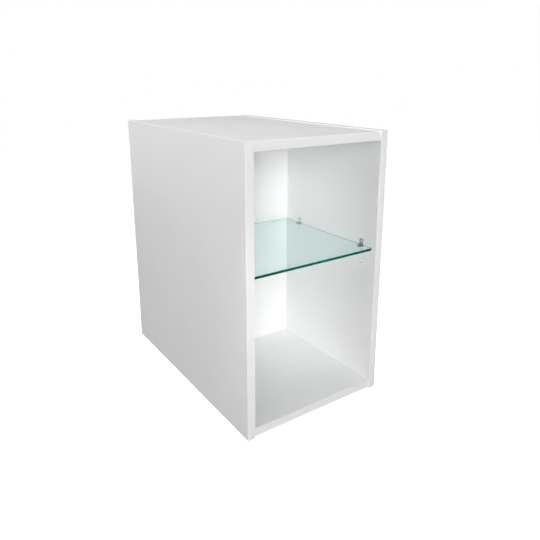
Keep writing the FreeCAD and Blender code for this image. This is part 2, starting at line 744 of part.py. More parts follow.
# Hook: a stem guided in the carriage, an arm to the wall and a nose behind the plate's lip
NOSE_FRONT = "(hook_play - lip_gap)"
NOSE_REAR = "(hook_play + hook_thickness - lip_gap)"
NOSE_BOTTOM = f"({LIP_TOP} - hook_reach)"
STEM_REAR = f"({CHAMBER_REAR} - running_play)"
STEM_FRONT = f"({CHAMBER_FRONT} + running_play)"
hook = new_body("left_hanger_hook")
sketch = sketch_at(hook, "x", INSIDE_START)
draw_outline(
    sketch,
    (
        (STEM_FRONT, STEM_BOTTOM),
        (STEM_REAR, STEM_BOTTOM),
        (STEM_REAR, LIP_TOP),
        (NOSE_FRONT, LIP_TOP),
        (NOSE_FRONT, NOSE_BOTTOM),
        (NOSE_REAR, NOSE_BOTTOM),
        (NOSE_REAR, ARM_TOP),
        (WEDGE_REAR, ARM_TOP),
        (WEDGE_FRONT, f"{ARM_TOP} - {WEDGE_DROP}"),
        (WEDGE_FRONT, STEM_TOP),
        (STEM_FRONT, STEM_TOP),
    ),
)
add_pad(hook, sketch, "x", INSIDE_WIDTH)
dress_edges(
    hook,
    "Fillet",
    "nose_rounding",
    lambda edge: runs_along(edge, "x")
    and (lies_at(edge, "z", NOSE_BOTTOM) or (lies_at(edge, "y", NOSE_REAR) and lies_at(edge, "z", ARM_TOP))),
)
mirror_piece(hook, "right_hanger_hook")


# Adjusting screws: a head with a hexagon socket, a neck that keeps it in its fork, and a shank
SOCKET_SIDES = 6
SOCKET_ANGLE = 360 / SOCKET_SIDES


def adjusting_screw(label, up, seat, wall, tip):
    screw = new_body(label)
    head = "(screw_head / 2)"
    neck = "(screw_neck / 2)"
    shoulder = f"({seat} + {wall} + running_play)"
    outline = (
        (f"{seat} - screw_head_length", "0"),
        (f"{seat} - screw_head_length", head),
        (seat, head),
        (seat, neck),
        (shoulder, neck),
        (shoulder, SCREW_RADIUS),
        (tip, SCREW_RADIUS),
        (tip, "0"),
    )
    revolve(screw, "y", (SCREW_LINE, "0", up), outline)
    socket = sketch_at(screw, "y", f"{seat} - screw_head_length")
    corners = [
        (
            f"{SCREW_LINE} + screw_socket / 2 * cos({SOCKET_ANGLE * corner} deg)",
            f"{up} + screw_socket / 2 * sin({SOCKET_ANGLE * corner} deg)",
        )
        for corner in range(SOCKET_SIDES)
    ]
    draw_outline(socket, corners)
    cut_pocket(screw, socket, "y", "screw_socket_depth")
    mirror_piece(screw, label.replace("left", "right"))


adjusting_screw(
    "left_depth_screw",
    DEPTH_SCREW,
    HOUSING_FRONT,
    "housing_wall",
    f"({CARRIAGE_FRONT} + depth_screw_bite)",
)
adjusting_screw(
    "left_height_screw",
    HEIGHT_SCREW,
    CARRIAGE_FRONT,
    "carriage_bar",
    f"({CHAMBER_REAR} - running_play)",
)

# Fixing screws: hold each housing on its side panel through the flanges
for hand in ("left", "right"):
    screws = []
    for number, (along, up) in enumerate(FIXING_PLACES, start=1):
        name = f"left_fixing_screw_{number}"
        if hand == "left":
            screw = new_body(name, is_node=False)
            seat = f"({LEFT} + flange_thickness)"
            tip = f"({LEFT} - fixing_length)"
            outline = (
                (tip, "0"),
                (tip, "fixing_diameter / 2"),
                (seat, "fixing_diameter / 2"),
                (seat, "fixing_head / 2"),
                (f"{seat} + fixing_head_length", "fixing_head / 2"),
                (f"{seat} + fixing_head_length", "0"),
            )
            revolve(screw, "x", ("0", along, up), outline)
        else:
            screw = mirror_piece(doc.getObject(name), f"right_fixing_screw_{number}", is_node=False)
        screws.append(screw)
    group_pieces(f"{hand}_hanger_screws", screws)

# Wall plate: bent sheet screwed to the wall, with a ledge and an upright lip for the hook
LIP_FRONT = "(-lip_gap - plate_metal)"
LEDGE_BOTTOM = "(plate_above - plate_metal)"
plate = new_body("left_wall_plate")
sketch = sketch_at(plate, "x", PLATE_LEFT)
draw_outline(
    sketch,
    (
        ("0", "-plate_below"),
        ("0", "plate_above"),
        ("-lip_gap", "plate_above"),
        ("-lip_gap", LIP_TOP),
        (LIP_FRONT, LIP_TOP),
        (LIP_FRONT, LEDGE_BOTTOM),
        ("-plate_metal", LEDGE_BOTTOM),
        ("-plate_metal", "-plate_below"),
    ),
)
add_pad(plate, sketch, "x", "plate_width")
dress_edges(
    plate,
    "Fillet",
    "plate_rounding",
    lambda edge: runs_along(edge, "x")
    and (
        (lies_at(edge, "y", "0") and lies_at(edge, "z", "plate_above"))
        or (lies_at(edge, "y", LIP_FRONT) and lies_at(edge, "z", LEDGE_BOTTOM))
    ),
)
sketch = sketch_at(plate, "y", "-plate_metal")
for rise in ("-wall_screw_rise / 2", "wall_screw_rise / 2"):
    draw_circle(sketch, PLATE_MIDDLE, rise, "wall_screw_hole / 2")
cut_pocket(plate, sketch, "y", "plate_metal")
mirror_piece(plate, "right_wall_plate")

# Access cap: a moulded plug with a thin rim over the access hole
cap = new_body("left_access_cap")
sketch = sketch_at(cap, "y", f"{BACK_FACE} - cap_rim_thickness")
draw_access(sketch, "cap_rim")
add_pad(cap, sketch, "y", "cap_rim_thickness")
sketch = sketch_at(cap, "y", BACK_FACE)
draw_access(sketch, "-cap_play")
add_pad(cap, sketch, "y", "cap_plug_length")
mirror_piece(cap, "right_access_cap")

# Every object has to be sound before anything is written
doc.recompute()
faults = [item.Label for item in doc.Objects if {"Invalid", "Error"} & set(item.State)]
faults += [node.Label for node in nodes if node.Shape.isNull() or not node.Shape.isValid()]
if faults:
    raise RuntimeError("failed objects: " + ", ".join(faults))
os.makedirs("parts", exist_ok=True)
for node in nodes:
    node.Shape.exportStep(f"parts/{node.Label}.step")
print(len(nodes), "nodes,", sum(len(node.Shape.Solids) for node in nodes), "solids")
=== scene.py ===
"""Looks of an open, white wall cabinet with a glass shelf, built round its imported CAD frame.

Metres, +Z up, the open front facing -Y, the wall at Y = 0.
"""
from math import cos, pi, radians, sin

import bmesh
import bpy
from mathutils import Matrix, Vector


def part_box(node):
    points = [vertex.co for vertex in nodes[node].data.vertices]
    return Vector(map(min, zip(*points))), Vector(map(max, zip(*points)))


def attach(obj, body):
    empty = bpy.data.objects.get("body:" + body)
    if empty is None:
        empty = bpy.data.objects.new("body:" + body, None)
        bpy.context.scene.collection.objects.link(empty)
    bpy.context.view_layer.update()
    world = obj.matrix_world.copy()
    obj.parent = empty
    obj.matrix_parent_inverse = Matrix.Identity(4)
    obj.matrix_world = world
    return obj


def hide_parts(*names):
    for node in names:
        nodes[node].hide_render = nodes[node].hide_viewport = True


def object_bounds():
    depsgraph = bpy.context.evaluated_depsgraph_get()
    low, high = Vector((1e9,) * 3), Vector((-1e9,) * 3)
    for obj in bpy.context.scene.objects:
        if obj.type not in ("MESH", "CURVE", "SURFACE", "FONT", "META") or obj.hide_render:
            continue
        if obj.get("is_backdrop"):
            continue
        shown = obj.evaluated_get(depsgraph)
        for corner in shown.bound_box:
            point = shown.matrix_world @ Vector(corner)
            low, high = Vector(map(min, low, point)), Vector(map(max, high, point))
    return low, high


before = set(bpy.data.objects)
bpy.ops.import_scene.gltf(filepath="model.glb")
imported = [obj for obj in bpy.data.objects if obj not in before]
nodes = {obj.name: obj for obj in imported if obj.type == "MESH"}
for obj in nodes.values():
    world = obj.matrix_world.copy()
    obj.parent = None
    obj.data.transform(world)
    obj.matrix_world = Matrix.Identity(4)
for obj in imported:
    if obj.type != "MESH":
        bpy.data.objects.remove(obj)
cad_low, cad_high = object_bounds()


# Sides, top and bottom: 16 mm particle board faced with white melamine paper.
# The press plate leaves a fine pearl grain on the face, so its gloss is soft and slightly uneven.
MELAMINE_LOW, MELAMINE_HIGH = (0.845, 0.845, 0.84), (0.865, 0.865, 0.86)
SOFT_GLOSS = 0.25
PATTERN_LOW, PATTERN_HIGH = 0.3, 0.7
EVEN = (1.0, 1.0, 1.0)


def new_finish(name, roughness, metallic=0.0):
    """A named material, its node tree and its shader, with the constants set on the shader."""
    finish = bpy.data.materials.new(name)
    finish.use_nodes = True
    shader = finish.node_tree.nodes["Principled BSDF"]
    shader.inputs["Roughness"].default_value = roughness
    shader.inputs["Metallic"].default_value = metallic
    return finish, finish.node_tree, shader


def noise_pattern(tree, scale, detail=2.0, stretch=EVEN):
    """Noise on Object coordinates; a stretch under 1 draws it out along that axis."""
    place = tree.nodes.new("ShaderNodeTexCoord")
    mapping = tree.nodes.new("ShaderNodeMapping")
    mapping.inputs["Scale"].default_value = stretch
    noise = tree.nodes.new("ShaderNodeTexNoise")
    noise.inputs["Scale"].default_value = scale
    noise.inputs["Detail"].default_value = detail
    tree.links.new(place.outputs["Object"], mapping.inputs["Vector"])
    tree.links.new(mapping.outputs["Vector"], noise.inputs["Vector"])
    return noise.outputs["Fac"]


def vary_colour(tree, shader, pattern, low, high):
    """Base colour that wanders between two colours with a pattern."""
    ramp = tree.nodes.new("ShaderNodeValToRGB")
    ramp.color_ramp.elements[0].position = PATTERN_LOW
    ramp.color_ramp.elements[1].position = PATTERN_HIGH
    ramp.color_ramp.elements[0].color = (*low, 1.0)
    ramp.color_ramp.elements[1].color = (*high, 1.0)
    tree.links.new(pattern, ramp.inputs["Fac"])
    tree.links.new(ramp.outputs["Color"], shader.inputs["Base Color"])


def vary_roughness(tree, shader, pattern, low, high):
    """Roughness that wanders between two values with a pattern."""
    span = tree.nodes.new("ShaderNodeMapRange")
    span.inputs["From Min"].default_value = PATTERN_LOW
    span.inputs["From Max"].default_value = PATTERN_HIGH
    span.inputs["To Min"].default_value = low
    span.inputs["To Max"].default_value = high
    tree.links.new(pattern, span.inputs["Value"])
    tree.links.new(span.outputs["Result"], shader.inputs["Roughness"])


def raise_grain(tree, shader, pattern, depth, strength=1.0):
    """Bump of a depth in metres from a pattern."""
    bump = tree.nodes.new("ShaderNodeBump")
    bump.inputs["Distance"].default_value = depth
    bump.inputs["Strength"].default_value = strength
    tree.links.new(pattern, bump.inputs["Height"])
    tree.links.new(bump.outputs["Normal"], shader.inputs["Normal"])


def dress(finish, *names):
    """Gives CAD nodes their finish."""
    for name in names:
        for slot in nodes[name].material_slots:
            slot.material = finish


def melamine(name):
    """White melamine paper: nearly even in colour, cloudy in gloss, with the press plate's grain."""
    finish, tree, shader = new_finish(name, roughness=0.4)
    shader.inputs["Specular IOR Level"].default_value = SOFT_GLOSS
    vary_colour(tree, shader, noise_pattern(tree, scale=9.0, detail=4.0), MELAMINE_LOW, MELAMINE_HIGH)
    vary_roughness(tree, shader, noise_pattern(tree, scale=35.0, detail=3.0), low=0.36, high=0.46)
    raise_grain(tree, shader, noise_pattern(tree, scale=900.0), depth=0.00002, strength=0.5)
    return finish


board_finish = melamine("white_melamine")
dress(board_finish, "left_side_panel", "right_side_panel", "top_panel", "bottom_panel")

# Edge bands: 1 mm white plastic strip, glued on with heat and trimmed flush with a small bevel.
# Buffing leaves faint marks that run along each strip.
BAND_LOW, BAND_HIGH = (0.85, 0.85, 0.845), (0.87, 0.87, 0.865)


def band_finish(name, along):
    """White strip with its buffing marks drawn out along it."""
    finish, tree, shader = new_finish(name, roughness=0.4)
    shader.inputs["Specular IOR Level"].default_value = SOFT_GLOSS
    vary_colour(tree, shader, noise_pattern(tree, scale=60.0, detail=3.0, stretch=along), BAND_LOW, BAND_HIGH)
    vary_roughness(tree, shader, noise_pattern(tree, scale=400.0, stretch=along), low=0.32, high=0.42)
    raise_grain(tree, shader, noise_pattern(tree, scale=900.0, stretch=along), depth=0.00001, strength=0.4)
    return finish


upright_bands = band_finish("edge_band_upright", along=(1.0, 1.0, 0.05))
level_bands = band_finish("edge_band_level", along=(1.0, 0.05, 1.0))
cross_bands = band_finish("edge_band_cross", along=(0.05, 1.0, 1.0))
for hand in ("left", "right"):
    dress(upright_bands, f"{hand}_front_edge_band", f"{hand}_rear_edge_band")
    dress(level_bands, f"{hand}_top_edge_band", f"{hand}_bottom_edge_band")
for panel in ("top", "bottom"):
    dress(cross_bands, f"{panel}_panel_front_band", f"{panel}_panel_rear_band")

# Corner biscuits: flat ovals of pressed beech, three glued into the slots of each corner joint.
# The grain runs along each one, and the press leaves it dull and slightly rough.
BEECH_LOW, BEECH_HIGH = (0.50, 0.32, 0.18), (0.68, 0.48, 0.29)
ALONG_BISCUIT = (1.0, 0.06, 1.0)
beech, tree, shader = new_finish("beech", roughness=0.62)
beech_grain = noise_pattern(tree, scale=220.0, detail=4.0, stretch=ALONG_BISCUIT)
vary_colour(tree, shader, beech_grain, BEECH_LOW, BEECH_HIGH)
beech_pores = noise_pattern(tree, scale=700.0, detail=3.0, stretch=ALONG_BISCUIT)
raise_grain(tree, shader, beech_pores, depth=0.00004, strength=0.6)
dress(beech, "corner_biscuits")

# Back panel: 8 mm fibre board with the same white face as the boards.
# It is slid into the grooves of the sides, top and bottom before the last side goes on.
back_finish = melamine("white_back_board")
dress(back_finish, "back_panel")

# Hanger housings and wall plates: pressed steel, bright zinc plated.
# The plating has a faint bluish, cloudy look and fine drawing marks.
ZINC_LOW, ZINC_HIGH = (0.56, 0.58, 0.62), (0.70, 0.72, 0.74)
GLOSSIER, DULLER = 0.06, 0.08


def plated(name, low, high, roughness, cloud, along=EVEN):
    """Metal with a cloudy colour and fine marks, which can be drawn out along one axis."""
    finish, tree, shader = new_finish(name, roughness, metallic=1.0)
    vary_colour(tree, shader, noise_pattern(tree, scale=cloud, detail=4.0), low, high)
    marks = noise_pattern(tree, scale=900.0, stretch=along)
    vary_roughness(tree, shader, marks, roughness - GLOSSIER, roughness + DULLER)
    scratches = noise_pattern(tree, scale=2500.0, stretch=along)
    raise_grain(tree, shader, scratches, depth=0.000006, strength=0.5)
    return finish


zinc_plate = plated("zinc_plate", ZINC_LOW, ZINC_HIGH, roughness=0.34, cloud=70.0, along=(1.0, 0.08, 1.0))
for hand in ("left", "right"):
    dress(zinc_plate, f"{hand}_hanger_housing", f"{hand}_wall_plate")

# Carriage, wedge and hook: zinc die castings, tumbled to take off their burrs, so they are dull and grey.
# They run inside the housing: the carriage towards the wall and back, the wedge along the carriage,
# and the hook up and down on the wedge's slope.
CASTING_LOW, CASTING_HIGH = (0.42, 0.43, 0.45), (0.55, 0.56, 0.57)
zinc_cast = plated("zinc_casting", CASTING_LOW, CASTING_HIGH, roughness=0.46, cloud=260.0)
for hand in ("left", "right"):
    dress(zinc_cast, f"{hand}_hanger_carriage", f"{hand}_hanger_wedge", f"{hand}_hanger_hook")

# Adjusting screws: turned steel, blue zinc plated, with a rolled thread and a hexagon socket in the head.
# A plain neck under the head sits in a fork, so a screw that is turned moves the casting on its thread.
ROUND = 24
SAME_PLACE = 1e-6
SMOOTH_BELOW = 32.0
ADJUSTER_HEAD, ADJUSTER_HEAD_LENGTH = 0.0042, 0.004
ADJUSTER_HEAD_FOOT, ADJUSTER_HEAD_RIM, ADJUSTER_TIP = 0.0003, 0.0005, 0.0005
ADJUSTER_SOCKET, ADJUSTER_SOCKET_DEPTH, SOCKET_CORNERS, SOCKET_NARROWING = 0.002, 0.0025, 6, 0.98
ADJUSTER_NECK, ADJUSTER_CORE, ADJUSTER_CREST, ADJUSTER_PITCH = 0.0022, 0.00245, 0.003, 0.001
NECK_LENGTHS = {"depth": 0.0023, "height": 0.0063}
THREAD_ROOT, THREAD_FLANK = 0.0002, 0.42
SCREW_LOW, SCREW_HIGH = (0.52, 0.55, 0.60), (0.66, 0.69, 0.73)
screw_plate = plated("screw_zinc", SCREW_LOW, SCREW_HIGH, roughness=0.28, cloud=500.0)


def spun(profile):
    """A turned shape round Z from points of radius and height, the first on the axis."""
    shape = bmesh.new()
    verts = [shape.verts.new((radius, 0.0, up)) for radius, up in profile]
    edges = [shape.edges.new(pair) for pair in zip(verts, verts[1:])]
    bmesh.ops.spin(shape, geom=verts + edges, cent=(0.0, 0.0, 0.0), axis=(0.0, 0.0, 1.0),
                   dvec=(0.0, 0.0, 0.0), angle=2 * pi, steps=ROUND, use_merge=True, use_duplicate=False)
    bmesh.ops.remove_doubles(shape, verts=shape.verts, dist=SAME_PLACE)
    return shape


def sink_socket(shape, corners, top, depth, narrowing):
    """Closes the open top of a head with a socket of this outline, narrower at its bottom."""
    rim = [edge for edge in shape.edges if edge.is_boundary]
    verts = [shape.verts.new((x, y, top)) for x, y in corners]
    sides = [shape.edges.new(pair) for pair in zip(verts, verts[1:] + verts[:1])]
    bmesh.ops.subdivide_edges(shape, edges=sides, cuts=ROUND // len(corners) - 1)
    outline = [edge for edge in shape.edges if edge.is_wire]
    bmesh.ops.bridge_loops(shape, edges=rim + outline)
    walls = bmesh.ops.extrude_edge_only(shape, edges=outline)["geom"]
    deep = [item for item in walls if isinstance(item, bmesh.types.BMVert)]
    bmesh.ops.scale(shape, vec=(narrowing, narrowing, 1.0), verts=deep)
    bmesh.ops.translate(shape, vec=(0.0, 0.0, -depth), verts=deep)
    bmesh.ops.contextual_create(shape, geom=[item for item in walls if isinstance(item, bmesh.types.BMEdge)
                                             and all(vert in deep for vert in item.verts)])


def wind_thread(shape, core, crest, pitch, start, end):
    """A ridge wound round the core from one height to another, closed at both ends."""
    root, half = core - THREAD_ROOT, THREAD_FLANK * pitch
    corners = ((root, 0.0, start - half), (crest, 0.0, start), (root, 0.0, start + half))
    ridge = [shape.verts.new(corner) for corner in corners]
    tooth = shape.faces.new(ridge)
    turns = (end - start) / pitch
    bmesh.ops.spin(shape, geom=ridge + list(tooth.edges) + [tooth], cent=(0.0, 0.0, 0.0),
                   axis=(0.0, 0.0, 1.0), dvec=(0.0, 0.0, pitch / ROUND), angle=2 * pi * turns,
                   steps=round(ROUND * turns), use_merge=False, use_duplicate=False)
    bmesh.ops.holes_fill(shape, edges=[edge for edge in shape.edges if edge.is_boundary], sides=0)


def new_piece(name, shape, finish, body):
    """An object at the origin from a bmesh, with its finish, riding on a body."""
    bmesh.ops.recalc_face_normals(shape, faces=shape.faces)
    mesh = bpy.data.meshes.new(name)
    shape.to_mesh(mesh)
    shape.free()
    mesh.materials.append(finish)
    piece = bpy.data.objects.new(name, mesh)
    bpy.context.scene.collection.objects.link(piece)
    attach(piece, body)
    return piece


def smooth_over(piece):
    """Smooth shading, with the sharper edges kept sharp."""
    for face in piece.data.polygons:
        face.use_smooth = True
    piece.data.set_sharp_from_angle(angle=radians(SMOOTH_BELOW))


def placed(shape, place, turn):
    """A copy of a shape, turned and put in its place."""
    copy = shape.copy()
    bmesh.ops.transform(copy, matrix=Matrix.Translation(place) @ turn, verts=copy.verts)
    return copy


for job in ("depth", "height"):
    low, high = (Vector(corner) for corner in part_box(f"left_{job}_screw"))
    tip = low.y + ADJUSTER_HEAD_LENGTH - high.y
    neck_end = -NECK_LENGTHS[job]
    screw = spun((
        (0.0, tip),
        (ADJUSTER_CORE - ADJUSTER_TIP, tip),
        (ADJUSTER_CORE, tip + ADJUSTER_TIP),
        (ADJUSTER_CORE, neck_end),
        (ADJUSTER_NECK, neck_end),
        (ADJUSTER_NECK, 0.0),
        (ADJUSTER_HEAD - ADJUSTER_HEAD_FOOT, 0.0),
        (ADJUSTER_HEAD, ADJUSTER_HEAD_FOOT),
        (ADJUSTER_HEAD, ADJUSTER_HEAD_LENGTH - ADJUSTER_HEAD_RIM),
        (ADJUSTER_HEAD - ADJUSTER_HEAD_RIM, ADJUSTER_HEAD_LENGTH),
    ))
    turns = [2 * pi * corner / SOCKET_CORNERS for corner in range(SOCKET_CORNERS)]
    hexagon = [(ADJUSTER_SOCKET * cos(turn), ADJUSTER_SOCKET * sin(turn)) for turn in turns]
    sink_socket(screw, hexagon, ADJUSTER_HEAD_LENGTH, ADJUSTER_SOCKET_DEPTH, SOCKET_NARROWING)
    wind_thread(screw, ADJUSTER_CORE, ADJUSTER_CREST, ADJUSTER_PITCH,
                tip + ADJUSTER_PITCH, neck_end - ADJUSTER_PITCH)
    for hand in ("left", "right"):
        low, high = (Vector(corner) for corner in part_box(f"{hand}_{job}_screw"))
        place = Vector(((low.x + high.x) / 2, low.y + ADJUSTER_HEAD_LENGTH, (low.z + high.z) / 2))
        turned = placed(screw, place, Matrix.Rotation(radians(90.0), 4, "X"))
        piece = new_piece(f"{hand}_{job}_adjuster", turned, screw_plate, f"{hand}_{job}_screw")
        smooth_over(piece)
        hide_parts(f"{hand}_{job}_screw")
    screw.free()

# Fixing screws: short wood screws with a pan head and a cross recess, in the same plated steel.
# Two hold each hanger's housing, driven through its flanges into the side panel.
FIXING_HEAD, FIXING_HEAD_LENGTH = 0.0045, 0.0025
FIXING_CORE, FIXING_CREST, FIXING_PITCH = 0.0018, 0.0025, 0.0018
FIXING_POINT, FIXING_TIP, FIXING_TIP_LENGTH = 0.003, 0.0006, 0.0004
CROSS_REACH, CROSS_HALF, CROSS_DEPTH, CROSS_NARROWING = 0.0021, 0.00055, 0.0016, 0.6
PAN_INSETS_AND_HEIGHTS = ((0.0002, 0.0), (0.0, 0.0003), (0.0, 0.0009), (0.0003, 0.0016), (0.001, 0.0022),
                          (0.0019, FIXING_HEAD_LENGTH))


def join_in(group, shape):
    """Adds a shape to a group of like pieces."""
    passing = bpy.data.meshes.new("passing")
    shape.to_mesh(passing)
    shape.free()
    group.from_mesh(passing)
    bpy.data.meshes.remove(passing)


def cross_outline(reach, half):
    """The twelve corners of a cross recess, in order round it."""
    arm = ((half, half), (reach, half), (reach, -half))
    turned = []
    for quarter in range(4):
        turn = Matrix.Rotation(-quarter * pi / 2, 2)
        turned += [tuple(turn @ Vector(corner)) for corner in arm]
    return turned


low, high = (Vector(corner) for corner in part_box("left_hanger_screws"))
length = high.x - low.x - FIXING_HEAD_LENGTH
screw = spun((
    (0.0, -length),
    (FIXING_TIP, -length + FIXING_TIP_LENGTH),
    (FIXING_CORE, -length + FIXING_POINT),
    (FIXING_CORE, 0.0),
    *((FIXING_HEAD - inset, up) for inset, up in PAN_INSETS_AND_HEIGHTS),
))
recess = cross_outline(CROSS_REACH, CROSS_HALF)
sink_socket(screw, recess, FIXING_HEAD_LENGTH, CROSS_DEPTH, CROSS_NARROWING)
wind_thread(screw, FIXING_CORE, FIXING_CREST, FIXING_PITCH, -length + FIXING_POINT, -FIXING_PITCH)
for hand, towards_middle in (("left", 1.0), ("right", -1.0)):
    low, high = (Vector(corner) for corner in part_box(f"{hand}_hanger_screws"))
    seat = high.x - FIXING_HEAD_LENGTH if hand == "left" else low.x + FIXING_HEAD_LENGTH
    pair = bmesh.new()
    for up in (low.z + FIXING_HEAD, high.z - FIXING_HEAD):
        place = Vector((seat, (low.y + high.y) / 2, up))
        join_in(pair, placed(screw, place, Matrix.Rotation(radians(90.0 * towards_middle), 4, "Y")))
    piece = new_piece(f"{hand}_fixing_screws", pair, screw_plate, "carcass")
    smooth_over(piece)
    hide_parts(f"{hand}_hanger_screws")
screw.free()

# Access caps: white plastic plugs, moulded with a fine matt texture, one in front of each hanger.
# They push into holes in the back panel, and come out so that a key reaches the adjusting screws.
CAP_LOW, CAP_HIGH = (0.83, 0.83, 0.82), (0.86, 0.86, 0.85)
cap_plastic, tree, shader = new_finish("cap_plastic", roughness=0.42)
vary_colour(tree, shader, noise_pattern(tree, scale=150.0), CAP_LOW, CAP_HIGH)
raise_grain(tree, shader, noise_pattern(tree, scale=3000.0, detail=1.0), depth=0.000008, strength=0.5)
for hand in ("left", "right"):
    dress(cap_plastic, f"{hand}_access_cap")

# Shelf supports: small zinc angles, each cast in one piece with its pin and satin nickel plated.
# The pin pushes into a hole of the side panel, the tab lies on the panel, and the foot carries the glass.
NICKEL_LOW, NICKEL_HIGH = (0.66, 0.65, 0.63), (0.76, 0.75, 0.73)
nickel = plated("satin_nickel", NICKEL_LOW, NICKEL_HIGH, roughness=0.34, cloud=400.0, along=(1.0, 1.0, 0.2))
for row in ("front", "rear"):
    for hand in ("left", "right"):
        dress(nickel, f"{row}_{hand}_shelf_support")

# Pads: clear, slightly soft plastic buttons with rounded rims, stuck on the feet of the supports.
# The glass rests on them, so they keep it off the metal and stop it from sliding by itself.
PAD_HALF, PAD_CORNER, PAD_RIM = 0.0035, 0.0016, 0.0004
PAD_CORNER_STEPS, PAD_RIM_STEPS = 4, 3
PAD_LOW, PAD_HIGH = (0.80, 0.84, 0.83), (0.88, 0.91, 0.90)
PAD_CLEARNESS, PAD_IOR = 0.85, 1.45


def upright(edge):
    """Whether an edge stands upright."""
    across = edge.verts[0].co.xy - edge.verts[1].co.xy
    return across.length < SAME_PLACE


def round_edges(shape, edges, radius, segments):
    """Rounds some edges of a shape."""
    bmesh.ops.bevel(shape, geom=edges, offset=radius, offset_type="OFFSET", affect="EDGES",
                    segments=segments, profile=0.5, material=-1)


def level_at(edge, height):
    """Whether an edge lies level at a height."""
    return all(abs(vert.co.z - height) < SAME_PLACE for vert in edge.verts)


clear_plastic, tree, shader = new_finish("clear_plastic", roughness=0.18)
shader.inputs["Transmission Weight"].default_value = PAD_CLEARNESS
shader.inputs["IOR"].default_value = PAD_IOR
vary_colour(tree, shader, noise_pattern(tree, scale=300.0), PAD_LOW, PAD_HIGH)
pad_low, pad_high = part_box("support_cushions")
pad_height = pad_high[2] - pad_low[2]
pad_places = [(x, y) for x in (pad_low[0] + PAD_HALF, pad_high[0] - PAD_HALF)
              for y in (pad_low[1] + PAD_HALF, pad_high[1] - PAD_HALF)]
pads = bmesh.new()
for x, y in pad_places:
    pad = bmesh.new()
    bmesh.ops.create_cube(pad, size=1.0)
    bmesh.ops.scale(pad, vec=(2 * PAD_HALF, 2 * PAD_HALF, pad_height), verts=pad.verts)
    round_edges(pad, [edge for edge in pad.edges if upright(edge)], PAD_CORNER, PAD_CORNER_STEPS)
    round_edges(pad, [edge for edge in pad.edges if level_at(edge, pad_height / 2)], PAD_RIM, PAD_RIM_STEPS)
    bmesh.ops.translate(pad, vec=(x, y, pad_low[2] + pad_height / 2), verts=pad.verts)
    join_in(pads, pad)
support_pads = new_piece("support_pads", pads, clear_plastic, "carcass")
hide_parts("support_cushions")

# Glass shelf: 5 mm float glass, laid on the pads, with polished edges and a ground arris all round.
# Its iron takes out red, so a long way through it, as from edge to edge, looks dark green.
# The arris is ground and dull, so it carries on the edge's green and lets little light through.
GLASS_DEEP, GLASS_DENSITY = (0.0, 0.70, 0.64, 1.0), 15.5
FACE_TINT, EDGE_TINT, ARRIS_TINT = (0.895, 0.97, 0.968), (0.55, 0.95, 0.88), (0.02, 0.28, 0.25)
EDGE_ROUGHNESS, ARRIS_ROUGHNESS, ARRIS_CLEARNESS = 0.05, 0.4, 0.35
EDGE_TO_ARRIS, ARRIS_TO_FACE = 0.4, 0.9
GLASS_IOR = 1.52
glass, tree, shader = new_finish("float_glass", roughness=0.0)
shader.inputs["IOR"].default_value = GLASS_IOR
facing = tree.nodes.new("ShaderNodeNewGeometry")
parts = tree.nodes.new("ShaderNodeSeparateXYZ")
level = tree.nodes.new("ShaderNodeMath")
level.operation = "ABSOLUTE"
tree.links.new(facing.outputs["True Normal"], parts.inputs["Vector"])
tree.links.new(parts.outputs["Z"], level.inputs[0])


def by_zone(socket, on_edge, on_arris, on_face):
    """A colour or grey for each zone of the glass, told by how level its surface lies."""
    zones = tree.nodes.new("ShaderNodeValToRGB")
    zones.color_ramp.interpolation = "CONSTANT"
    zones.color_ramp.elements[0].color = (*on_edge, 1.0)
    zones.color_ramp.elements[1].position = EDGE_TO_ARRIS
    zones.color_ramp.elements[1].color = (*on_arris, 1.0)
    zones.color_ramp.elements.new(ARRIS_TO_FACE).color = (*on_face, 1.0)
    tree.links.new(level.outputs["Value"], zones.inputs["Fac"])
    tree.links.new(zones.outputs["Color"], shader.inputs[socket])


def grey(value):
    """A value as a colour, for a socket that takes a number."""
    return (value, value, value)


by_zone("Base Color", EDGE_TINT, ARRIS_TINT, FACE_TINT)
by_zone("Roughness", grey(EDGE_ROUGHNESS), grey(ARRIS_ROUGHNESS), grey(0.0))
by_zone("Transmission Weight", grey(1.0), grey(ARRIS_CLEARNESS), grey(1.0))
absorb = tree.nodes.new("ShaderNodeVolumeAbsorption")
absorb.inputs["Color"].default_value = GLASS_DEEP
absorb.inputs["Density"].default_value = GLASS_DENSITY
tree.links.new(absorb.outputs["Volume"], tree.nodes["Material Output"].inputs["Volume"])
dress(glass, "glass_shelf")
nodes["glass_shelf"].visible_shadow = False

# Floor: a plain white studio floor, far below the cabinet because that hangs on a wall.
# It is as bright as the background, so that no line shows where they meet.
FLOOR_DROP, FLOOR_HALF = 1.0, 12.0
WHITE = (1.0, 1.0, 1.0, 1.0)
shape = bmesh.new()
bmesh.ops.create_grid(shape, x_segments=1, y_segments=1, size=FLOOR_HALF)
bmesh.ops.translate(shape, vec=(0.0, 0.0, cad_low.z - FLOOR_DROP), verts=shape.verts)
floor_mesh = bpy.data.meshes.new("studio_floor")
shape.to_mesh(floor_mesh)
shape.free()
floor = bpy.data.objects.new("studio_floor", floor_mesh)
bpy.context.scene.collection.objects.link(floor)
floor_white, tree, shader = new_finish("floor_white", roughness=0.9)
shader.inputs["Emission Color"].default_value = WHITE
shader.inputs["Emission Strength"].default_value = 1.0
floor.data.materials.append(floor_white)
floor.visible_diffuse = False
floor.visible_glossy = False
floor.visible_transmission = False
floor.visible_shadow = False
floor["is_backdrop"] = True

# Surroundings: pale light from all round, and a plain white background behind the cabinet.
# The background is also seen straight through the glass, when the shelf is drawn out of the front.
LIGHT_AROUND, LIGHT_BEHIND = 0.12, 1.0
HALF_A_BOUNCE = 0.5
world = bpy.data.worlds.new("studio")
world.use_nodes = True
tree = world.node_tree
around = tree.nodes["Background"]
around.inputs["Color"].default_value = WHITE
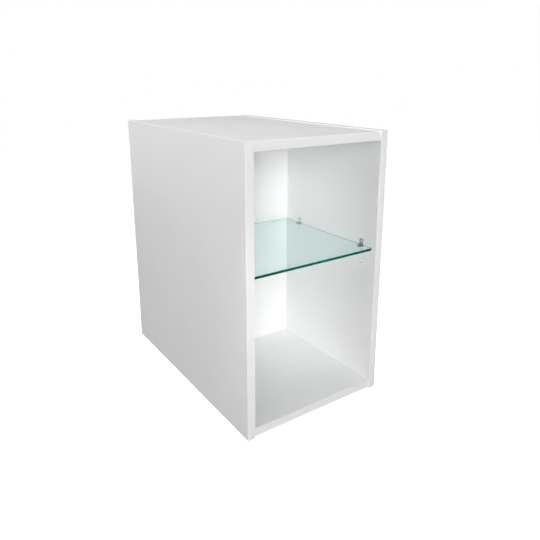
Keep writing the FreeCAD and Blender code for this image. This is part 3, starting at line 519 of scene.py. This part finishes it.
around.inputs["Strength"].default_value = LIGHT_AROUND
behind = tree.nodes.new("ShaderNodeBackground")
behind.inputs["Color"].default_value = WHITE
behind.inputs["Strength"].default_value = LIGHT_BEHIND
path = tree.nodes.new("ShaderNodeLightPath")
unscattered = tree.nodes.new("ShaderNodeMath")
unscattered.operation = "LESS_THAN"
unscattered.inputs[1].default_value = HALF_A_BOUNCE
through_glass = tree.nodes.new("ShaderNodeMath")
through_glass.operation = "MULTIPLY"
seen = tree.nodes.new("ShaderNodeMath")
seen.operation = "MAXIMUM"
either = tree.nodes.new("ShaderNodeMixShader")
tree.links.new(path.outputs["Diffuse Depth"], unscattered.inputs[0])
tree.links.new(unscattered.outputs["Value"], through_glass.inputs[0])
tree.links.new(path.outputs["Is Transmission Ray"], through_glass.inputs[1])
tree.links.new(through_glass.outputs["Value"], seen.inputs[0])
tree.links.new(path.outputs["Is Camera Ray"], seen.inputs[1])
tree.links.new(seen.outputs["Value"], either.inputs["Fac"])
tree.links.new(around.outputs["Background"], either.inputs[1])
tree.links.new(behind.outputs["Background"], either.inputs[2])
tree.links.new(either.outputs["Shader"], tree.nodes["World Output"].inputs["Surface"])
bpy.context.scene.world = world

# Soft boxes: large square lights on stands, all turned towards the middle of the cabinet.
# The left and front ones light what the camera sees, and the right and rear ones the other sides.
MIDDLE = Vector((0.0, -0.24, -0.155))


def hang_light(lamp, name, place, target):
    """Puts a lamp in its place, turned to a target and out of the camera's sight."""
    holder = bpy.data.objects.new(name, lamp)
    holder.location = place
    holder.rotation_euler = (target - place).to_track_quat("-Z", "Y").to_euler()
    holder.visible_camera = False
    bpy.context.scene.collection.objects.link(holder)


def soft_box(name, azimuth, elevation, distance, size, power):
    """A square light round the cabinet: azimuth 0 is in front and 90 to the right, in degrees."""
    across, up = radians(azimuth), radians(elevation)
    towards = Vector((sin(across) * cos(up), -cos(across) * cos(up), sin(up)))
    lamp = bpy.data.lights.new(name, "AREA")
    lamp.size = size
    lamp.energy = power
    hang_light(lamp, name, MIDDLE + towards * distance, MIDDLE)


soft_box("key_box", azimuth=-40.0, elevation=10.0, distance=4.0, size=2.0, power=57.5)
soft_box("front_box", azimuth=-20.0, elevation=10.0, distance=2.4, size=1.2, power=20.0)
soft_box("high_box", azimuth=0.0, elevation=45.0, distance=4.0, size=2.0, power=28.0)
soft_box("left_top_box", azimuth=-90.0, elevation=75.0, distance=1.6, size=0.8, power=13.0)
soft_box("left_rear_box", azimuth=-130.0, elevation=5.0, distance=3.0, size=1.5, power=22.5)
soft_box("right_box", azimuth=96.0, elevation=5.0, distance=4.0, size=1.0, power=92.0)
soft_box("rear_box", azimuth=180.0, elevation=5.0, distance=4.0, size=2.0, power=56.0)

# Compartment lights: narrow beams with soft edges, from stands in front of the cabinet.
# They shine through the open front on the back panel and the right side, each from a place to a target.
LAMP_RADIUS = 0.1


def beam(name, place, target, width, power):
    """A beam from a place to a target, as wide as an angle in degrees."""
    lamp = bpy.data.lights.new(name, "SPOT")
    lamp.energy = power
    lamp.spot_size = radians(width)
    lamp.spot_blend = 1.0
    lamp.shadow_soft_size = LAMP_RADIUS
    hang_light(lamp, name, Vector(place), Vector(target))


beam("upper_beam", place=(-0.7, -1.5, -0.50), target=(0.134, -0.24, -0.04), width=8.0, power=20.5)
beam("high_beam", place=(-0.7, -1.5, -0.60), target=(0.134, -0.34, 0.05), width=8.0, power=26.5)
beam("shelf_beam", place=(-0.6, -1.6, -0.05), target=(0.134, -0.21, -0.10), width=6.0, power=53.0)
beam("lower_beam", place=(-0.7, -1.5, 0.40), target=(0.134, -0.26, -0.38), width=12.0, power=30.0)

# Camera: the photograph's view, from the front left and a little above.
# The lens is shifted down, as a view camera's is, so that the uprights lean less.
# Light is followed through many bounces, because it goes round inside the glass.
CAMERA_PLACE = (-0.5661, -1.1471, 0.1925)
CAMERA_TILT, CAMERA_TURN = radians(90.0 - 14.44), radians(-34.49)
SENSOR_WIDTH, FOCAL_LENGTH = 36.0, 35.68
SHIFT_ACROSS, SHIFT_UP = 0.0028, -0.1037
BOUNCES = 24
lens = bpy.data.cameras.new("camera")
lens.sensor_width = SENSOR_WIDTH
lens.lens = FOCAL_LENGTH
lens.shift_x = SHIFT_ACROSS
lens.shift_y = SHIFT_UP
camera = bpy.data.objects.new("camera", lens)
camera.location = CAMERA_PLACE
camera.rotation_euler = (CAMERA_TILT, 0.0, CAMERA_TURN)
bpy.context.scene.collection.objects.link(camera)
bpy.context.scene.camera = camera
bpy.context.scene.view_settings.view_transform = "Standard"
bpy.context.scene.cycles.max_bounces = BOUNCES
bpy.context.scene.cycles.glossy_bounces = BOUNCES
bpy.context.scene.cycles.transmission_bounces = BOUNCES

# Sizes: the box of the CAD model, kept from the start, and the box of what is shown now.
low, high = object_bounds()
